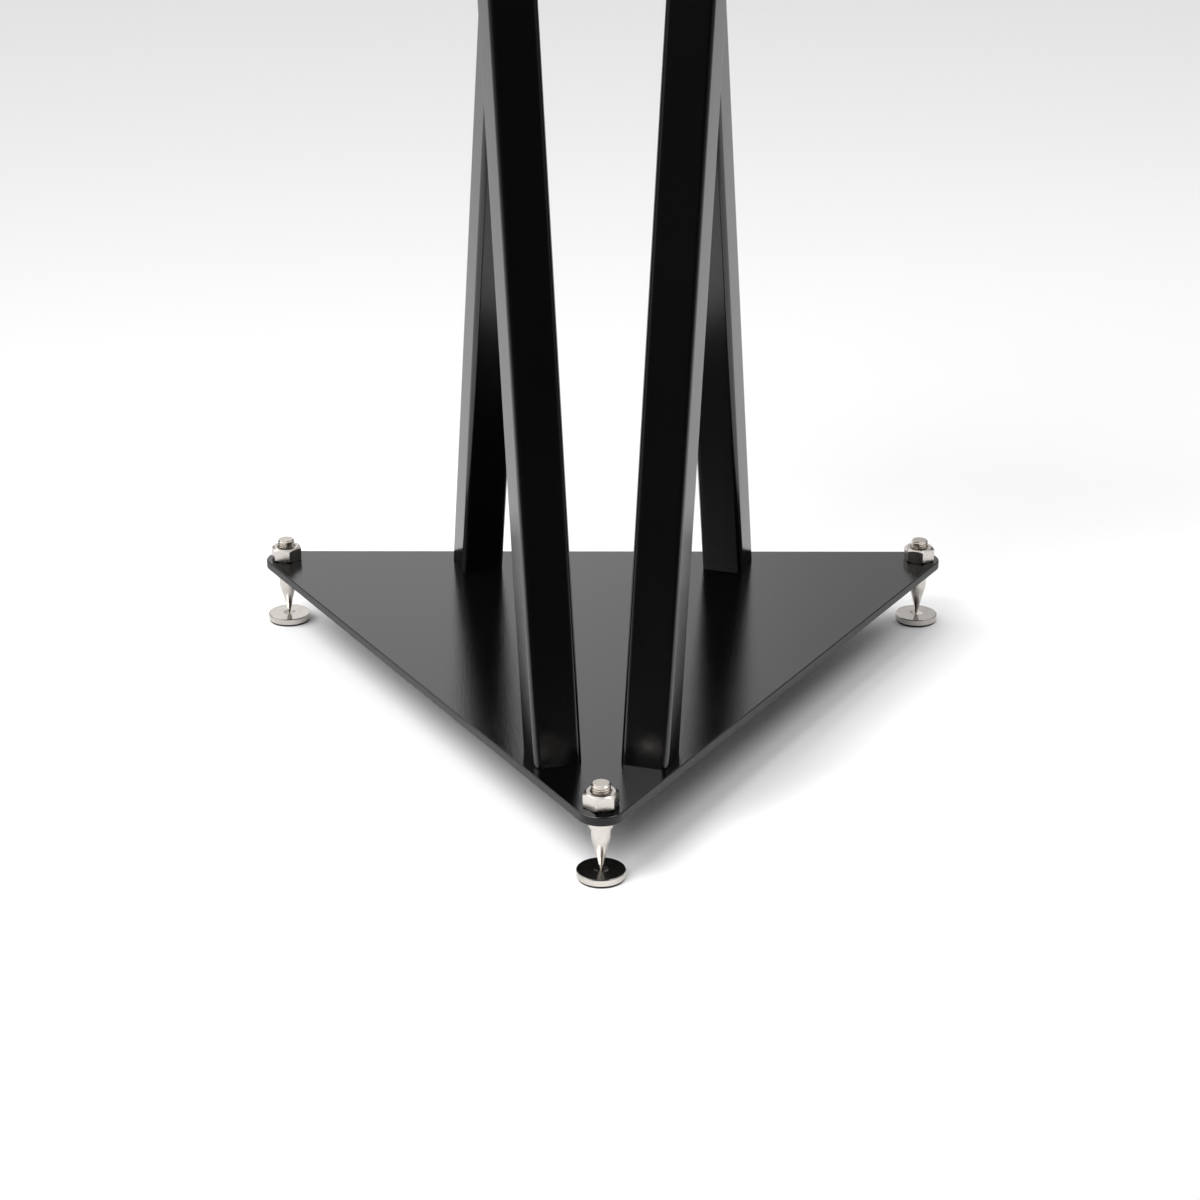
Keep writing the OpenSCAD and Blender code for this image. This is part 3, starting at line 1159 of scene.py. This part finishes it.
for foot in FEET:
    disc_steel = turned_steel("disc_steel_" + foot, foot, DISC_ROUGHNESS)
    nut_steel = turned_steel("nut_steel_" + foot, foot, NUT_ROUGHNESS)
    spike_steel = turned_steel("spike_steel_" + foot, foot, SPIKE_ROUGHNESS, flange_high * MM)
    dress(disc_steel, bpy.data.objects[f"floor_disc_{foot}_turned"])
    dress(nut_steel, bpy.data.objects[f"lock_nut_{foot}_milled"])
    dress(spike_steel, bpy.data.objects[f"spike_{foot}_turned"])
    print("steel for the disc, the nut and the spike of the", foot, "foot")

# %% [markdown]
# Three finishes are left, and they differ only in numbers: two tones that wander into each other in
# clouds, a roughness that follows the clouds, and a finer grain for the relief. So one function
# makes them. The grain can be stretched along Z, as on metal that was drawn through a die.
# The inserts inside the tubes come first. They are zinc-plated: a paler, softer steel with a faint
# bluish cast and the lengthwise lines of drawn bar. They hardly show, but they keep their CAD
# solids, so they get a finish like everything else.

# %% Zinc plate
ZINC = {
    "dark": (0.42, 0.43, 0.45, 1),
    "light": (0.60, 0.62, 0.65, 1),
    "cloud_scale": 180,
    "grain_scale": 1800,
    "grain_detail": 2,
    "grain_height": 0.004 * MM,
    "grain_stretch": (1, 1, 0.04),
    "roughness": 0.3,
    "cloud_roughness": 0.2,
    "metallic": 1,
}
NO_STRETCH = (1, 1, 1)


def clouded(
    name, dark, light, cloud_scale, grain_scale, grain_detail, grain_height,
    roughness, cloud_roughness, metallic=0, grain_stretch=NO_STRETCH,
):
    """A finish in two clouded tones with a fine grain."""
    material, graph, place = new_finish(name)
    stretched = graph.add("Mapping", inputs={"Vector": place, "Scale": grain_stretch})
    clouds = noise(place, cloud_scale, detail=4)
    finish_with(
        graph,
        Base_Color=tone(clouds, dark, light),
        Metallic=metallic,
        Roughness=roughness + clouds * cloud_roughness,
        Normal=relief(noise(stretched, grain_scale, grain_detail), grain_height),
    )
    return material


zinc = clouded("zinc_plate", **ZINC)
for row, side in COLUMNS:
    dress(zinc, frame["nodes"][f"lower_insert_{row}_{side}"])
    dress(zinc, frame["nodes"][f"upper_insert_{row}_{side}"])
print("zinc plate on", 2 * len(COLUMNS), "inserts")

# %% [markdown]
# The screws come from a black oxide bath: a thin dark skin on bright steel, so it stays mostly
# metallic, with a dry, slightly mottled look.

# %% Black oxide
OXIDE = {
    "dark": (0.012, 0.012, 0.014, 1),
    "light": (0.045, 0.044, 0.046, 1),
    "cloud_scale": 700,
    "grain_scale": 4000,
    "grain_detail": 2,
    "grain_height": 0.004 * MM,
    "roughness": 0.32,
    "cloud_roughness": 0.16,
    "metallic": 0.8,
}

dress(clouded("black_oxide", **OXIDE), *pieces_of("black_screw"))
print("black oxide on", len(pieces_of("black_screw")), "screws")

# %% [markdown]
# The pads are soft black rubber: matt, a touch lighter than the paint where dust has settled, and
# with the fine stipple of its mould.

# %% Rubber
RUBBER = {
    "dark": (0.010, 0.010, 0.010, 1),
    "light": (0.022, 0.021, 0.020, 1),
    "cloud_scale": 240,
    "grain_scale": 3200,
    "grain_detail": 1,
    "grain_height": 0.02 * MM,
    "roughness": 0.6,
    "cloud_roughness": 0.2,
}

dress(clouded("rubber", **RUBBER), *pieces_of("soft_black"))
print("rubber on", len(pieces_of("soft_black")), "pads")

# %% [markdown]
# The studio: a white table in front of a white backdrop. Black gloss shows only what it mirrors,
# so the room matters as much as the paint. The plate mirrors the bright backdrop and turns grey.
# The columns' front walls mirror the dark side of the room, where the camera stands, and stay
# black. So the table ends not far in front of the stand, and the world is dark there. Towards the
# back the table turns grey: painted shade, for the light that falls off behind the stand. The
# table is no piece of the stand, so it is made in metres right away.

# %% Table
TABLE_FRONT = -0.30
TABLE_BACK = 4.0
TABLE_HALF_W = 3.0
TABLE_WHITE = (0.93, 0.93, 0.935, 1)
# Painted shade: towards the back the table's colour darkens to this grey, for light that falls off
# there
TABLE_PAINTED_SHADE = (0.74, 0.74, 0.745, 1)
PAINTED_SHADE_RANGE = (0.0, 0.35)
TABLE_ROUGHNESS = 0.9
TABLE_SHINE = 0.1

table_middle = (0, (TABLE_FRONT + TABLE_BACK) / 2, 0)
table = start(
    "table",
    bpy.ops.mesh.primitive_plane_add,
    size=1,
    location=table_middle,
)
table_size = (2 * TABLE_HALF_W, TABLE_BACK - TABLE_FRONT, 1)
edit(table)
bpy.ops.transform.resize(value=table_size, center_override=table_middle)
done()
table_finish, graph, place_on_table = new_finish("table_white")
# The grey towards the back is painted shade, not a colour of the table itself
distance_back = graph.add("SeparateXYZ", inputs={"Vector": place_on_table}, output="Y")
finish_with(
    graph,
    Base_Color=tone(rise(distance_back, *PAINTED_SHADE_RANGE), TABLE_WHITE, TABLE_PAINTED_SHADE),
    Roughness=TABLE_ROUGHNESS,
    Specular_IOR_Level=TABLE_SHINE,
)
dress(table_finish, table)
table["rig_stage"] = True
print("table of", table_size[0], "by", table_size[1], "m, greyer behind the base's middle")

# %% [markdown]
# The world stands for the walls and the ceiling of the studio, and its brightness depends only on
# the direction. X of a direction points to the right, Y to the back and Z up.
# The back wall and the left wall are bright, and the plate mirrors the back wall. The right wall is
# dimmer, so that the stand has a light side and a shaded one. The front is nearly black, and the
# columns' front walls mirror it. The corners beside the back wall are black too: the columns' side
# walls mirror them into the plate, as dark stripes. A glow high on the left works as a large soft
# box, and a faint one on the right answers it. The upper corner at the front right is kept dark,
# which leaves the shadow on that side deep. The side walls are dimmer low down, which gives the
# bright feet darker flanks. The camera itself always sees plain white behind the table.

# %% World
WALLS = 1.1
WALLS_RIGHT = 0.68
WALLS_RANGE = (0.0, 0.1)
DARK_SHARE = 0.96
FRONT_RANGE = (0.35, 0.8)
BACK_CORNER_ASIDE = (0.36, 0.44)
BACK_CORNER_BEHIND = (0.5, 0.65)
GLOW_LEFT = 3.7
GLOW_RIGHT = 0.1
GLOW_ASIDE = (0.4, 0.75)
GLOW_UP = (0.42, 0.6)
LOW_ASIDE = (0.7, 0.85)
LOW_SHARE = 0.6
FRONT_CORNER_AHEAD = (0.2, 0.45)
FRONT_CORNER_RIGHT = (0.0, 0.25)
FRONT_CORNER_UP = (0.45, 0.6)

world = bpy.data.worlds.new("studio")
bpy.context.scene.world = world
graph = Graph(world)
direction = graph.add("TexCoord", output="Generated")
right = graph.add("SeparateXYZ", inputs={"Vector": direction}, output="X")
back = graph.add("SeparateXYZ", inputs={"Vector": direction}, output="Y")
up = graph.add("SeparateXYZ", inputs={"Vector": direction}, output="Z")
aside = graph.add("Math", {"operation": "ABSOLUTE"}, {0: right})
left = -1 * right
front = -1 * back

walls = WALLS - (WALLS - WALLS_RIGHT) * rise(right, *WALLS_RANGE)
high = rise(up, *GLOW_UP)
glow = GLOW_LEFT * rise(left, *GLOW_ASIDE) + GLOW_RIGHT * rise(right, *GLOW_ASIDE)
low_sides = rise(aside, *LOW_ASIDE) * (1 - high) * LOW_SHARE
lit = walls * (1 - low_sides) + glow * high
dark_front = rise(front, *FRONT_RANGE) * DARK_SHARE
back_corners = rise(aside, *BACK_CORNER_ASIDE) * rise(back, *BACK_CORNER_BEHIND) * DARK_SHARE
front_corner = rise(front, *FRONT_CORNER_AHEAD) * rise(right, *FRONT_CORNER_RIGHT)
front_corner = front_corner * rise(up, *FRONT_CORNER_UP) * DARK_SHARE
room = lit * (1 - dark_front) * (1 - back_corners) * (1 - front_corner)
for_camera = graph.add("LightPath", output="Is Camera Ray")
seen = for_camera + (1 - for_camera) * room
background = graph.add("Background", inputs={"Color": (1, 1, 1, 1), "Strength": seen})
graph.add("OutputWorld", inputs={"Surface": background})
print("the studio's walls take", len(world.node_tree.nodes), "nodes")

# %% [markdown]
# Two large soft lamps, each with its direction from the stand and its power in watts. The key hangs
# in front, up and to the left. It lights the table under the left edge of the plate and leaves the
# shadow to the right of it. It also gives the one bright patch on the plate beside the front foot,
# which shows the lamp mirrored first in the column and then in the plate. The fill is weaker and
# hangs to the right, where it trims the shadow's far side.

# %% Lamps
LAMPS = {
    "key": (Vector((-0.345, -0.395, 0.85)), 14),
    "fill": (Vector((0.46, -0.08, 0.88)), 7),
}
LAMP_DISTANCE = 1.6
LAMP_SIZE = 0.65

for name, (towards, power) in LAMPS.items():
    towards.normalize()
    lamp_data = bpy.data.lights.new(name, "AREA")
    lamp_data.shape = "SQUARE"
    lamp_data.size = LAMP_SIZE
    lamp_data.energy = power
    lamp = bpy.data.objects.new(name, lamp_data)
    lamp.location = towards * LAMP_DISTANCE
    lamp.rotation_euler = towards.to_track_quat("Z", "Y").to_euler()
    bpy.context.scene.collection.objects.link(lamp)
    print("lamp", name, "of", power, "W,", LAMP_DISTANCE, "m from the stand")

# %% [markdown]
# A colour should reach the picture about as it is written, so the view transform is Standard.
# At the very end the visual model's box is measured and printed, because Blender may add
# detail but never size.

# %% Sizes and finish
bpy.context.scene.view_settings.view_transform = "Standard"
low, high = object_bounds()
print("visual box in mm:", [round(1000 * side, 2) for side in high - low])
